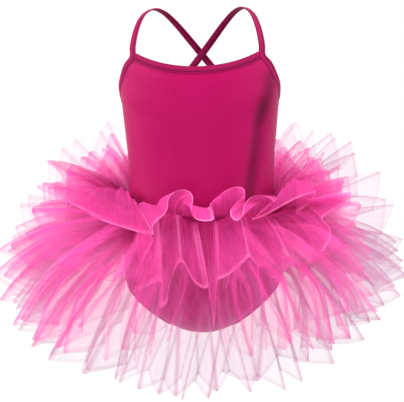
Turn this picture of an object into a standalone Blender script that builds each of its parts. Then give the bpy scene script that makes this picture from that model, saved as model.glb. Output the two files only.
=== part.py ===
"""A child's ballet dress: a camisole leotard with crossed back straps and a gathered tulle tutu.

The garment keeps the hollow, filled-out form that it has when worn. The origin is between the tops
of the two straps, where the shoulders carry it. X runs across the dress, -Y is its front, +Z is up.
The tables give their lengths in millimetres and their angles in degrees.
"""

import math

import bpy
import numpy as np

MM = 0.001

# Walls, and the gaps left at the seams and at the curved leg edges
KNIT_WALL = 1.2
BINDING_WALL = 2.4
TAPE_WALL = 1.2
TULLE_WALL = 1.0
SEAM_GAP = 0.3
LEG_GAP = 0.5

# Widths of the narrow strips
NECK_BINDING_WIDTH = 9.0
STRAP_WIDTH = 9.0
LEG_BINDING_WIDTH = 6.0

# The tape that carries the tulle, round the hips
TAPE_TOP = -267.0
TAPE_BOTTOM = -293.0
TAPE_COLUMNS = 36

# Columns across each leotard panel, from side seam to side seam
PANEL_COLUMNS = 18
SIDE_SEAM_Y = 0.3

# Leotard sections, top to bottom: the point at the centre, the point at the panel's edge, and how
# far round the body that edge lies. (turn, centre_y, centre_z, edge_x, edge_y, edge_z)
FRONT_ROWS = (
    (49, -67, -80, 76.5, -46, -63.5),
    (58, -69, -91, 85, -41, -74),
    (68, -70, -102, 91.5, -33, -86),
    (78, -70.5, -116, 97.5, -22, -100),
    (85, -70.5, -128, 99, -10.5, -113.5),
    (90, -69.5, -137, 98.5, -SIDE_SEAM_Y, -126),
    (90, -68, -157, 96, -SIDE_SEAM_Y, -153),
    (90, -66, -185, 93, -SIDE_SEAM_Y, -185),
    (90, -66, -215, 92, -SIDE_SEAM_Y, -215),
    (90, -68, -245, 93.5, -SIDE_SEAM_Y, -245),
    (90, -71, -272, 96, -SIDE_SEAM_Y, -272),
    (90, -74, -300, 99.5, -SIDE_SEAM_Y, -300),
    (90, -75, -328, 100.5, -SIDE_SEAM_Y, -328),
    (88, -75, -350, 98.5, -4, -347),
    (74, -72.5, -364, 94.5, -21, -351.5),
    (62, -68.5, -379, 84, -36, -361),
    (50, -61, -392, 68, -43, -375),
    (40, -47, -403, 51, -38, -389.5),
    (33, -27, -411, 38, -24, -401.5),
    (28, 5, -415, 28, 5, -409),
)
BACK_ROWS = (
    (90, 62, -136, 98.5, SIDE_SEAM_Y, -126),
    (90, 61, -157, 96, SIDE_SEAM_Y, -153),
    (90, 60, -185, 93, SIDE_SEAM_Y, -185),
    (90, 60, -215, 92, SIDE_SEAM_Y, -215),
    (90, 63, -245, 93.5, SIDE_SEAM_Y, -245),
    (90, 68, -272, 96, SIDE_SEAM_Y, -272),
    (90, 75, -300, 99.5, SIDE_SEAM_Y, -300),
    (90, 80, -328, 100.5, SIDE_SEAM_Y, -328),
    (88, 81, -352, 98.5, 4, -347),
    (75, 79, -367, 94.5, 22, -351.5),
    (62, 74, -382, 84.5, 38, -361.5),
    (50, 64, -395, 69, 45, -375),
    (40, 49, -405, 53, 39, -389),
    (33, 29, -412, 39, 26, -401),
    (28, 5.8, -415, 28, 5.8, -409),
)
# The front rows that run down the armhole, and the first row of each panel on the leg openings
ARMHOLE_ROWS = 6
FRONT_LEG_ROW = 13
BACK_LEG_ROW = 8
# The ellipsoid that the cloth follows round the leg openings: its middle height and its half sizes
HIP_HEIGHT = -305.0
HIP_SIZES = (100.0, 78.0, 112.0)

# The right strap's middle line from the neckline corner over the shoulder to the back, and the way
# its face looks. The left strap mirrors it. (x, y, z, normal_x, normal_y, normal_z)
STRAP_ROWS = (
    (80.5, -43.5, -46, 0.5, -0.85, 0.12),
    (76.5, -37, -28, 0.58, -0.78, 0.2),
    (71, -27, -12.5, 0.6, -0.62, 0.5),
    (64, -14, -4, 0.5, -0.35, 0.8),
    (55, 0, -1.2, 0.2, 0.0, 0.98),
    (44, 16, -7, -0.05, 0.45, 0.88),
    (31, 30, -21, -0.1, 0.75, 0.65),
    (17, 41, -39, -0.05, 0.93, 0.35),
    (2.5, 49, -58, 0.0, 0.98, 0.18),
    (-14, 53.5, -79, -0.05, 0.99, 0.1),
    (-31, 54.5, -103, -0.2, 0.97, 0.08),
)
# Where the straps cross behind, and how far each keeps to its own side there
CROSSING_HEIGHT = -60.0
CROSSING_SPREAD = 24.0
CROSSING_LIFT = 1.8
STRAP_SECTIONS = 32
# The panel column, counted from the centre of the back, where a strap's foot is sewn
STRAP_FOOT_COLUMN = 3

# Tulle layers, one row for each direction round the body. Azimuth 0 is the front and 90 the right.
# Rise and fall are the cloth's slope above the horizontal at the tape and at the hem.
# (azimuth, length, rise, fall)
UNDER_ROWS = (
    (-180, 192, 50, 34),
    (-135, 188, 41, 18),
    (-90, 154, 6, -46),
    (-45, 188, -20, -66),
    (0, 203, -32, -80),
    (45, 186, -20, -66),
    (90, 152, 6, -46),
    (135, 184, 41, 18),
)
LONG_ROWS = (
    (-180, 120, 57, 43),
    (-135, 118, 49, 30),
    (-90, 132, 16, -30),
    (-45, 150, -8, -54),
    (0, 152, -20, -70),
    (45, 146, -8, -54),
    (90, 130, 16, -30),
    (135, 118, 49, 30),
)
MID_ROWS = (
    (-180, 92, 64, 51),
    (-135, 96, 56, 40),
    (-90, 108, 27, -12),
    (-45, 118, 4, -38),
    (0, 112, -7, -56),
    (45, 116, 4, -38),
    (90, 108, 27, -12),
    (135, 95, 56, 40),
)
TOP_ROWS = (
    (-180, 54, 77, 68),
    (-135, 58, 69, 60),
    (-90, 70, 42, 10),
    (-45, 66, 36, 0),
    (0, 50, 60, 32),
    (45, 62, 44, 10),
    (90, 70, 42, 10),
    (135, 58, 69, 60),
)

# (name, table, root_z, pleats, columns a pleat, root wave, hem wave, sideways share, material)
LAYERS = (
    ("tulle_under", UNDER_ROWS, -289.0, 48, 2, 0.5, 7.5, 0.0, "pale tulle"),
    ("tulle_long", LONG_ROWS, -283.0, 48, 2, 0.5, 6.5, 0.0, "pink tulle"),
    ("tulle_mid", MID_ROWS, -277.0, 40, 2, 0.5, 6.0, 0.0, "pink tulle"),
    ("tulle_top", TOP_ROWS, -271.0, 20, 6, 0.5, 8.0, 0.28, "pink tulle"),
)
LAYER_STEPS = (0.0, 0.22, 0.48, 0.75, 1.0)
# The tulle's root, out past the tape from the middle of the leotard's wall
TULLE_ROOT_OUT = 3.3
# How unevenly deep the pleats are, and how unevenly long the tulle is cut
PLEAT_SEED = 7
PLEAT_SPREAD = 0.25
HEM_SPREAD = 0.035
# Half the slit that parts a layer's front and back lengths at each side
SIDE_SLIT = 0.7

COLOURS = {
    "fuchsia knit": (0.50, 0.010, 0.115, 1.0),
    "fuchsia binding": (0.42, 0.012, 0.090, 1.0),
    "pink tulle": (0.86, 0.10, 0.40, 1.0),
    "pale tulle": (0.86, 0.66, 0.78, 1.0),
}


def clear_scene():
    """Removes every object of the startup scene."""
    for old in list(bpy.data.objects):
        bpy.data.objects.remove(old)


def fabric(name):
    """The Principled material of that name, made once."""
    made = bpy.data.materials.get(name)
    if made is None:
        made = bpy.data.materials.new(name)
        made.use_nodes = True
        shader = made.node_tree.nodes["Principled BSDF"]
        shader.inputs["Base Color"].default_value = COLOURS[name]
        shader.inputs["Roughness"].default_value = 0.75
        shader.inputs["Metallic"].default_value = 0.0
        made.diffuse_color = COLOURS[name]
    return made


def add_object(name, verts, faces, material, collection):
    """A mesh object from points in millimetres."""
    mesh = bpy.data.meshes.new(name)
    mesh.from_pydata([tuple(float(c) * MM for c in p) for p in verts], [], faces)
    mesh.shade_smooth()
    mesh.set_sharp_from_angle(angle=math.radians(40))
    mesh.materials.append(fabric(material))
    made = bpy.data.objects.new(name, mesh)
    collection.objects.link(made)
    return made


def cloth(name, grid, wall, material, collection, ring=False):
    """A cloth wall on a grid of points, rows by columns. With ring, its last column meets the first."""
    rows, columns = grid.shape[:2]
    last = columns if ring else columns - 1
    faces = [
        (r * columns + c, r * columns + (c + 1) % columns,
         (r + 1) * columns + (c + 1) % columns, (r + 1) * columns + c)
        for r in range(rows - 1)
        for c in range(last)
    ]
    made = add_object(name, grid.reshape(-1, 3), faces, material, collection)
    shell = made.modifiers.new("Wall", "SOLIDIFY")
    shell.thickness = wall * MM
    shell.offset = 0.0
    shell.use_even_offset = True
    return made


def strip(name, centres, sides, normals, width, material, collection, ring=False):
    """A flat strip with a rectangular section, carried along its middle line."""
    turned = np.cross(sides, along(centres, ring))
    sides = sides * np.sign((turned * normals).sum(-1, keepdims=True))
    half_side = sides * (width / 2)
    half_wall = normals * (BINDING_WALL / 2)
    sections = np.stack(
        [
            centres - half_side - half_wall,
            centres + half_side - half_wall,
            centres + half_side + half_wall,
            centres - half_side + half_wall,
        ],
        axis=1,
    )
    count = len(sections)
    faces = [
        (i * 4 + k, (i + 1) % count * 4 + k, (i + 1) % count * 4 + (k + 1) % 4, i * 4 + (k + 1) % 4)
        for i in range(count if ring else count - 1)
        for k in range(4)
    ]
    if not ring:
        faces += [(0, 1, 2, 3), tuple((count - 1) * 4 + k for k in (3, 2, 1, 0))]
    return add_object(name, sections.reshape(-1, 3), faces, material, collection)


def unit(vectors):
    """The vectors at length one."""
    return vectors / np.linalg.norm(vectors, axis=-1, keepdims=True)


def across(vectors, tangents):
    """The vectors without their share along the tangents, at length one."""
    return unit(vectors - (vectors * tangents).sum(-1, keepdims=True) * tangents)


def along(points, ring=False):
    """The unit tangents of a line of points."""
    if ring:
        return unit(np.roll(points, -1, axis=0) - np.roll(points, 1, axis=0))
    return unit(np.gradient(points, axis=0))


def catmull(table, places, period=None):
    """A smooth curve through a table's rows, read at places along its first column.

    With a period, the table goes round, as the directions round the body do.
    """
    table = np.array(table, float)
    if period:
        table = np.vstack([table[-2:], table, table[:3]])
        table[:2, 0] -= period
        table[-3:, 0] += period
    else:
        table = np.vstack([2 * table[0] - table[1], table, 2 * table[-1] - table[-2]])
    keys = table[:, 0]
    i = np.clip(np.searchsorted(keys, places, side="right") - 1, 1, len(keys) - 3)
    t = ((places - keys[i]) / (keys[i + 1] - keys[i]))[:, None]
    a, b, c, d = (table[i + k, 1:] for k in (-1, 0, 1, 2))
    return 0.5 * (2 * b + (c - a) * t + (2 * a - 5 * b + 4 * c - d) * t**2
                  + (3 * b - a - 3 * c + d) * t**3)


def panel_grid(rows):
    """A leotard panel's points: each row is an elliptic arc from edge to centre to edge."""
    grid = np.empty((len(rows), PANEL_COLUMNS + 1, 3))
    for r, (turn, centre_y, centre_z, edge_x, edge_y, edge_z) in enumerate(rows):
        edge = math.radians(turn)
        angles = np.linspace(-edge, edge, PANEL_COLUMNS + 1)
        share = (1 - np.cos(angles)) / (1 - math.cos(edge))
        grid[r, :, 0] = edge_x * np.sin(angles) / math.sin(edge)
        grid[r, :, 1] = centre_y + (edge_y - centre_y) * share
        grid[r, :, 2] = centre_z + (edge_z - centre_z) * share
    return grid


def body_point(turn, height, out):
    """Points of the leotard's outline at a height, as x and y, moved out by a distance."""
    front = np.array([(-row[2], row[1], row[3]) for row in FRONT_ROWS[ARMHOLE_ROWS:FRONT_LEG_ROW]])
    back = np.array([(-row[2], row[1], row[3]) for row in BACK_ROWS[1:BACK_LEG_ROW]])
    front_y = np.interp(-height, front[:, 0], front[:, 1])
    back_y = np.interp(-height, back[:, 0], back[:, 1])
    half_width = np.interp(-height, front[:, 0], front[:, 2])
    depth = np.where(np.cos(turn) >= 0, -front_y, back_y)
    point = np.column_stack([half_width * np.sin(turn), -depth * np.cos(turn)])
    normal = np.column_stack([np.sin(turn) / half_width, -np.cos(turn) / depth])
    return point + unit(normal) * out


def body_ring(height, out):
    """The leotard's closed outline at a height, moved out by a distance."""
    turn = np.linspace(-math.pi, math.pi, TAPE_COLUMNS, endpoint=False)
    return np.column_stack([body_point(turn, height, out), np.full(TAPE_COLUMNS, height)])


def arc(length, rise, fall, step):
    """How far out and up a cloth of that length is at a step, as its slope goes from rise to fall."""
    bend = fall - rise
    out = length * (np.sin(rise + bend * step) - np.sin(rise)) / bend
    up = -length * (np.cos(rise + bend * step) - np.cos(rise)) / bend
    return out, up


def layer_grid(table, root_z, pleats, columns, root_wave, hem_wave, sideways):
    """A tulle layer all round the body, steps by columns, with its pleats opening to the hem."""
    spread = np.random.default_rng(PLEAT_SEED + pleats)
    size = 1 + PLEAT_SPREAD * spread.uniform(-1, 1, pleats)
    reach = 1 + HEM_SPREAD * spread.uniform(-1, 1, pleats)
    count = pleats * columns
    azimuth = np.linspace(-180, 180, count, endpoint=False)
    turn = np.radians(azimuth)
    length, rise, fall = catmull(table, azimuth, period=360).T
    length = length * np.repeat(reach, columns)
    rise, fall = np.radians(rise), np.radians(fall)
    phase = np.arange(count) * (2 * math.pi / columns)
    wave = np.cos(phase) * np.repeat(size, columns)
    lean = -np.sin(2 * phase) * np.repeat(size, columns)
    root = body_point(turn, root_z, TULLE_ROOT_OUT)
    outward = np.column_stack([np.sin(turn), -np.cos(turn)])
    sidelong = np.column_stack([np.cos(turn), np.sin(turn)])
    grid = np.empty((len(LAYER_STEPS), count, 3))
    for i, step in enumerate(LAYER_STEPS):
        out, up = arc(length, rise, fall, step)
        slope = rise + (fall - rise) * step
        height = (root_wave + (hem_wave - root_wave) * step) * wave
        out = out - np.sin(slope) * height * step
        up = up + (np.cos(slope) * step + 1 - step) * height
        shift = sideways * hem_wave * step * lean
        grid[i, :, :2] = root + outward * out[:, None] + sidelong * shift[:, None]
        grid[i, :, 2] = root_z + up
    return grid


def layer_halves(grid):
    """The layer cut at the side seams: its front and back lengths, with a small slit between them."""
    count = grid.shape[1]
    right, left = count * 3 // 4, count // 4
    front = grid[:, left : right + 1].copy()
    back = np.concatenate([grid[:, right:], grid[:, : left + 1]], axis=1)
    front[:, [0, -1], 1] -= SIDE_SLIT
    back[:, [0, -1], 1] += SIDE_SLIT
    return front, back


def edge_frame(edge, inner):
    """The sides that point off a panel's edge, and the panel's outer normals there."""
    tangents = along(edge)
    sides = across(edge - inner, tangents)
    normals = unit(np.cross(sides, tangents))
    outward = edge * (1, 1, 0)
    return sides, normals * np.sign((normals * outward).sum())


def neck_binding(front, collection):
    """The binding that folds over the front neckline, from strap to strap."""
    sides, normals = edge_frame(front[0], front[1])
    centres = front[0] + sides * (SEAM_GAP + NECK_BINDING_WIDTH / 2)
    centres, sides, normals = (part[1:-1] for part in (centres, sides, normals))
    strip("neck_binding", centres, sides, normals, NECK_BINDING_WIDTH, "fuchsia binding", collection)


def back_binding(back, collection):
    """The binding of the low back, from side seam to side seam."""
    sides, normals = edge_frame(back[0], back[1])
    centres = back[0] + sides * (SEAM_GAP + STRAP_WIDTH / 2)
    strip("back_binding", centres, sides, normals, STRAP_WIDTH, "fuchsia binding", collection)


def strap_foot(back, side):
    """Where a strap is sewn behind the back binding: its place and the way it faces, in one row."""
    up, face = edge_frame(back[0], back[1])
    column = PANEL_COLUMNS // 2 - side * STRAP_FOOT_COLUMN
    place = back[0] + up * (SEAM_GAP + STRAP_WIDTH / 2) - face * (BINDING_WALL + SEAM_GAP)
    return np.r_[place[column], face[column]]


def strap(name, front, back, side, collection):
    """One armhole binding that runs on as the shoulder strap and ends behind the back binding."""
    edge_column, inner_column = (-1, -2) if side > 0 else (0, 1)
    edge = front[:ARMHOLE_ROWS, edge_column][::-1]
    sides, normals = edge_frame(edge, front[:ARMHOLE_ROWS, inner_column][::-1])
    sides[0] = (0.0, 0.0, 1.0)
    armhole = np.hstack([edge + sides * (SEAM_GAP + STRAP_WIDTH / 2), normals])
    rows = np.array(STRAP_ROWS, float) * (side, 1, 1, side, 1, 1)
    behind = rows[:, 1] > 0
    rows[behind, 1] -= side * CROSSING_LIFT * np.exp(
        -(((rows[behind, 2] - CROSSING_HEIGHT) / CROSSING_SPREAD) ** 2))
    whole = np.vstack([armhole, rows, strap_foot(back, side)])
    distance = np.r_[0, np.cumsum(np.linalg.norm(np.diff(whole[:, :3], axis=0), axis=1))]
    places = np.linspace(distance[ARMHOLE_ROWS - 1], distance[-1], STRAP_SECTIONS)[1:]
    shoulder = catmull(np.column_stack([distance, whole]), places)
    centres = np.vstack([armhole[:, :3], shoulder[:, :3]])
    tangents = along(centres)[ARMHOLE_ROWS:]
    faces = across(shoulder[:, 3:], tangents)
    sides = np.vstack([sides, np.cross(tangents, faces)])
    strip(name, centres, sides, np.vstack([normals, faces]), STRAP_WIDTH, "fuchsia binding",
          collection)


def leg_binding(name, front, back, side, collection):
    """The closed ring of binding round one leg opening."""
    edge_column, inner_column = (-1, -4) if side > 0 else (0, 3)
    edge, inner = (
        np.concatenate([front[FRONT_LEG_ROW:, c], back[BACK_LEG_ROW:-1, c][::-1]])
        for c in (edge_column, inner_column)
    )
    tangents = along(edge, ring=True)
    normals = across((edge - (0, 0, HIP_HEIGHT)) / np.square(HIP_SIZES), tangents)
    sides = np.cross(normals, tangents)
    sides *= np.sign((sides * (edge - inner)).sum())
    centres = edge + sides * (LEG_GAP + LEG_BINDING_WIDTH / 2)
    strip(name, centres, sides, normals, LEG_BINDING_WIDTH, "fuchsia binding", collection, ring=True)


def waist_tape(collection):
    """The tape stitched round the hips, which carries the gathered tulle."""
    out = KNIT_WALL / 2 + SEAM_GAP + TAPE_WALL / 2
    heights = np.linspace(TAPE_TOP, TAPE_BOTTOM, 3)
    grid = np.stack([body_ring(height, out) for height in heights])
    cloth("waist_tape", grid, TAPE_WALL, "fuchsia binding", collection, ring=True)


def leotard(collection):
    """The two knit panels with their bindings and straps."""
    front, back = panel_grid(FRONT_ROWS), panel_grid(BACK_ROWS)
    cloth("front_panel", front, KNIT_WALL, "fuchsia knit", collection)
    cloth("back_panel", back, KNIT_WALL, "fuchsia knit", collection)
    neck_binding(front, collection)
    back_binding(back, collection)
    for name, side in (("right", 1), ("left", -1)):
        strap(f"strap_{name}", front, back, side, collection)
        leg_binding(f"leg_binding_{name}", front, back, side, collection)
    waist_tape(collection)


def tutu(collection):
    """The gathered tulle layers, each a front and a back length joined at the sides."""
    for name, table, root_z, pleats, columns, root_wave, hem_wave, sideways, material in LAYERS:
        grid = layer_grid(table, root_z, pleats, columns, root_wave, hem_wave, sideways)
        front, back = layer_halves(grid)
        cloth(f"{name}_front", front, TULLE_WALL, material, collection)
        cloth(f"{name}_back", back, TULLE_WALL, material, collection)


def main():
    """Builds the whole dress in one collection."""
    clear_scene()
    collection = bpy.data.collections.new("ballet_dress")
    bpy.context.scene.collection.children.link(collection)
    leotard(collection)
    tutu(collection)


main()
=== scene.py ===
"""A child's ballet dress: a fuchsia camisole leotard with crossed straps and a gathered tulle tutu.

Every shell is a grid of points over two parameters, in millimetres, on the form of its own solid:
the leotard's panels from tables of sections, its bindings as tubes along the panels' edges, and the
tulle as lengths of net that are pleated from the hip tape out to the hem. X runs across the dress,
-Y is its front and +Z is up. The origin lies between the strap tops.
"""

import logging
import math
from dataclasses import dataclass, replace
from enum import Enum
from functools import reduce

import bpy
import numpy as np
from mathutils import Matrix, Vector


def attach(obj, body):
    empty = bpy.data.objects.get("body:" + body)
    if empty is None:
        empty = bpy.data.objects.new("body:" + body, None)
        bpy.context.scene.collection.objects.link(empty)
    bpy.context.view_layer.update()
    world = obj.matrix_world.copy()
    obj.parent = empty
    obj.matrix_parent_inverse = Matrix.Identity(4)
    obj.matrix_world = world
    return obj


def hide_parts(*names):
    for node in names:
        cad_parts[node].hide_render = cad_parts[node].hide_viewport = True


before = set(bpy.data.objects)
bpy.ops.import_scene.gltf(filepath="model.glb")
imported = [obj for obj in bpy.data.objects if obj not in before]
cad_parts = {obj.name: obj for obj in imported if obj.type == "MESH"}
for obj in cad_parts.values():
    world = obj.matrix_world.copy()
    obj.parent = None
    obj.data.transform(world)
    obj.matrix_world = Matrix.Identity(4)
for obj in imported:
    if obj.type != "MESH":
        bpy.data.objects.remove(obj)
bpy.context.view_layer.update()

MM = 0.001
BODY = "root"
Array = np.ndarray
Rows = tuple[tuple[float, ...], ...]
Colour = tuple[float, float, float]
Place = tuple[float, float, float]
Socket = bpy.types.NodeSocket
log = logging.getLogger("ballet_dress")


class Hold(Enum):
    """How a sheet of cloth is held."""

    STRETCHED = "stretched"
    GATHERED = "gathered"


class Slot(Enum):
    """The record's material slots."""

    KNIT = "knit"
    BINDING = "binding"
    PINK_TULLE = "pink_tulle"
    PALE_TULLE = "pale_tulle"


def unit(vectors: Array) -> Array:
    """The vectors at length one."""
    return vectors / np.linalg.norm(vectors, axis=-1, keepdims=True)


def across(vectors: Array, tangents: Array) -> Array:
    """The vectors without their share along the tangents, at length one."""
    return unit(vectors - (vectors * tangents).sum(-1, keepdims=True) * tangents)


def along(points: Array, ring: bool = False) -> Array:
    """The unit tangents of a line of points: the difference of the two neighbours."""
    if ring:
        return unit(np.roll(points, -1, axis=0) - np.roll(points, 1, axis=0))
    return unit(np.gradient(points, axis=0))


def travelled(points: Array) -> Array:
    """How far along a line each of its points lies, from zero at the first."""
    return np.r_[0, np.cumsum(np.linalg.norm(np.diff(points, axis=0), axis=1))]


def closed(points: Array) -> Array:
    """A ring of points with its first one again at the end."""
    return np.concatenate([points, points[:1]])


def full_turn(count: int, start: float = 0.0) -> Array:
    """Evenly spaced angles once round, in radians."""
    return np.linspace(start, start + 2 * math.pi, count, endpoint=False)


def smooth(table: Array | Rows, places: Array, period: float | None = None) -> Array:
    """A Catmull-Rom curve through a table's rows, read at places along its first column.

    Args:
        table: rows of a key and then values, in rising order of the key.
        places: the keys to read the curve at.
        period: where the keys go round, as directions round the body do, their full turn.

    Returns:
        The values at each place, one row each.
    """
    rows = np.array(table, float)
    if period:
        rows = np.vstack([rows[-2:], rows, rows[:3]])
        rows[:2, 0] -= period
        rows[-3:, 0] += period
    else:
        rows = np.vstack([2 * rows[0] - rows[1], rows, 2 * rows[-1] - rows[-2]])
    keys = rows[:, 0]
    i = np.clip(np.searchsorted(keys, places, side="right") - 1, 1, len(keys) - 3)
    t = ((places - keys[i]) / (keys[i + 1] - keys[i]))[:, None]
    a, b, c, d = (rows[i + k, 1:] for k in (-1, 0, 1, 2))
    return 0.5 * (2 * b + (c - a) * t + (2 * a - 5 * b + 4 * c - d) * t**2
                  + (3 * b - a - 3 * c + d) * t**3)


def bump(distance: Array, width: float) -> Array:
    """A soft hill of height one: the bell curve of a distance over a width."""
    return np.exp(-np.square(distance / width))


def signed_power(values: Array, power: float) -> Array:
    """The values' sizes raised to a power, with their signs kept."""
    return np.sign(values) * np.abs(values) ** power


def grid_faces(rows: int, columns: int, ring: bool) -> Array:
    """The quads of a grid of points, as rows of four point numbers."""
    last = columns if ring else columns - 1
    r, c = np.meshgrid(np.arange(rows - 1), np.arange(last), indexing="ij")
    here, beside = r * columns + c, r * columns + (c + 1) % columns
    return np.stack([here, beside, beside + columns, here + columns], -1).reshape(-1, 4)


def cloth_places(width: Array, length: Array) -> Array:
    """Each grid point's place on the flat cloth in metres, from millimetres that broadcast."""
    return np.stack(np.broadcast_arrays(width, length), -1).reshape(-1, 2) * MM


def make_mesh(name: str, points: Array, faces: Array, material: bpy.types.Material,
              uv: Array | None = None, marks: dict[str, Array] | None = None) -> bpy.types.Object:
    """A smooth-shaded object of quads or triangles that all have the same number of corners.

    Args:
        name: the piece's name.
        points: its points in millimetres, one row each.
        faces: its faces as rows of point numbers.
        material: its finish.
        uv: each point's place on the flat cloth, in metres.
        marks: named numbers, one for each point, that the material reads.

    Returns:
        The object, linked to the scene.
    """
    mesh = bpy.data.meshes.new(name)
    corners = faces.shape[1]
    mesh.vertices.add(len(points))
    mesh.vertices.foreach_set("co", (points * MM).astype(np.float32).ravel())
    mesh.loops.add(faces.size)
    mesh.loops.foreach_set("vertex_index", faces.astype(np.int32).ravel())
    mesh.polygons.add(len(faces))
    mesh.polygons.foreach_set("loop_start", np.arange(0, faces.size, corners, dtype=np.int32))
    mesh.update(calc_edges=True)
    if uv is not None:
        layer = mesh.uv_layers.new(name="cloth")
        layer.data.foreach_set("uv", uv[faces.ravel()].astype(np.float32).ravel())
    for mark, values in (marks or {}).items():
        made = mesh.attributes.new(mark, "FLOAT", "POINT")
        made.data.foreach_set("value", np.asarray(values, np.float32).ravel())
    mesh.shade_smooth()
    mesh.materials.append(material)
    piece = bpy.data.objects.new(name, mesh)
    bpy.context.scene.collection.objects.link(piece)
    return piece


def own(piece: bpy.types.Object, slot: Slot, *nodes: str) -> bpy.types.Object:
    """Rides a piece on the dress and has it stand for its nodes."""
    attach(piece, BODY)
    if nodes:
        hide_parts(*nodes)
    log.info("%s: %d faces", piece.name, len(piece.data.polygons))
    return piece


def thicken(piece: bpy.types.Object, wall: float) -> None:
    """Gives a shell a wall in millimetres, half of it to each side."""
    solid = piece.modifiers.new("Wall", "SOLIDIFY")
    solid.thickness = wall * MM
    solid.offset = 0.0


class Shader:
    """A short way to write a material's nodes."""

    def __init__(self, name: str) -> None:
        """Starts an empty material of that name."""
        self.material = bpy.data.materials.new(name)
        self.material.use_nodes = True
        self.tree = self.material.node_tree
        self.tree.nodes.clear()

    def add(self, kind: str, inputs: dict[str | int, object] | None = None,
            **settings: object) -> bpy.types.Node:
        """A node with its settings, and its sockets set or linked by name or number."""
        node = self.tree.nodes.new(kind)
        for key, value in settings.items():
            setattr(node, key, value)
        for key, value in (inputs or {}).items():
            if isinstance(value, Socket):
                self.tree.links.new(value, node.inputs[key])
            else:
                node.inputs[key].default_value = value
        return node

    def maths(self, operation: str, *values: Socket | float) -> Socket:
        """One Math node's result."""
        return self.add("ShaderNodeMath", dict(enumerate(values)), operation=operation).outputs[0]

    def times(self, *values: Socket | float) -> Socket:
        """The product of two or more numbers."""
        return reduce(lambda product, value: self.maths("MULTIPLY", product, value), values)

    def rest(self, value: Socket) -> Socket:
        """What a number leaves of one."""
        return self.maths("SUBTRACT", 1.0, value)

    def blend(self, factor: Socket, low: Socket | Colour, high: Socket | Colour) -> Socket:
        """A colour between two, by a factor from zero to one."""
        low, high = (c if isinstance(c, Socket) else (*c, 1.0) for c in (low, high))
        return self.add("ShaderNodeMix", {0: factor, 6: low, 7: high}, data_type="RGBA").outputs[2]

    def mark(self, name: str) -> Socket:
        """A number that the mesh carries at each point."""
        return self.add("ShaderNodeAttribute", attribute_name=name).outputs["Fac"]

    def where(self) -> Socket:
        """The point's place on its object, in metres."""
        return self.add("ShaderNodeTexCoord").outputs["Object"]

    def cloth(self) -> Socket:
        """The point's place on the flat cloth, in metres."""
        return self.add("ShaderNodeUVMap", uv_map="cloth").outputs[0]

    def noise(self, place: Socket, scale: float, detail: float = 2.0) -> Socket:
        """Soft noise about a half, of that many spots a metre."""
        return self.add("ShaderNodeTexNoise", {"Vector": place, "Scale": scale,
                                               "Detail": detail}).outputs["Fac"]

    def bands(self, place: Socket, direction: str, pitch: float, distortion: float,
              detail_scale: float = 1.0) -> Socket:
        """Wavering bands, a pitch in metres apart. At scale one they are 2 pi / 20 m apart."""
        return self.add("ShaderNodeTexWave", {
            "Vector": place, "Scale": 0.314 / pitch, "Distortion": distortion, "Detail": 1.0,
            "Detail Scale": detail_scale}, bands_direction=direction).outputs["Fac"]

    def finish(self, surface: Socket) -> bpy.types.Material:
        """Links the surface to the output and gives the material back."""
        self.add("ShaderNodeOutputMaterial", {"Surface": surface})
        return self.material


@dataclass(frozen=True)
class Jersey:
    """Smooth stretch jersey with fine knit ribs, faint mottling and a soft sheen.

    Attributes:
        dark, bright: the colours that the mottling runs between.
        painted_shade_colour: the colour where the mesh's mark "shade" is one: painted shade in
            creases, beside seams and along a binding's stitches and slopes.
        rib_pitch, course_share: the ribs' pitch in millimetres, and the courses' share of it.
    """

    name: str
    dark: Colour
    bright: Colour
    painted_shade_colour: Colour = (0.03, 0.0004, 0.008)
    rib_pitch: float = 0.9
    course_share: float = 0.7
    roughness: float = 0.42

    def material(self) -> bpy.types.Material:
        """The finish as nodes: colour from slow noise and shade, bump from ribs along the cloth."""
        shader = Shader(self.name)
        cloth = shader.cloth()
        lit = shader.blend(shader.noise(shader.where(), 34.0, detail=3.0), self.dark, self.bright)
        # Painted shade: the mark "shade" darkens the cloth towards painted_shade_colour.
        colour = shader.blend(shader.mark("shade"), lit, self.painted_shade_colour)
        ribs = shader.bands(cloth, "X", self.rib_pitch * MM, distortion=0.6, detail_scale=2.0)
        courses = shader.bands(cloth, "Y", self.course_share * self.rib_pitch * MM, distortion=0.8)
        knit = shader.maths("ADD", ribs, shader.times(courses, 0.5))
        relief = shader.add("ShaderNodeBump", {"Strength": 0.22, "Distance": 0.0003,
                                               "Height": knit})
        surface = shader.add("ShaderNodeBsdfPrincipled", {
            "Base Color": colour, "Roughness": self.roughness, "Normal": relief.outputs[0],
            "Sheen Weight": 0.02, "Sheen Roughness": 0.4, "Sheen Tint": (1.0, 0.2, 0.55, 1.0),
            "Specular IOR Level": 0.10, "Specular Tint": (1.0, 0.25, 0.55, 1.0)})
        return shader.finish(surface.outputs[0])


@dataclass(frozen=True)
class Thread:
    """Matt sewing thread, a shade lighter than the cloth."""

    name: str
    colour: Colour

    def material(self) -> bpy.types.Material:
        """The finish as nodes: fine noise on a rough thread."""
        shader = Shader(self.name)
        dark = tuple(0.75 * c for c in self.colour)
        colour = shader.blend(shader.noise(shader.where(), 900.0), dark, self.colour)
        surface = shader.add("ShaderNodeBsdfPrincipled", {"Base Color": colour, "Roughness": 0.7})
        return shader.finish(surface.outputs[0])


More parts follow.
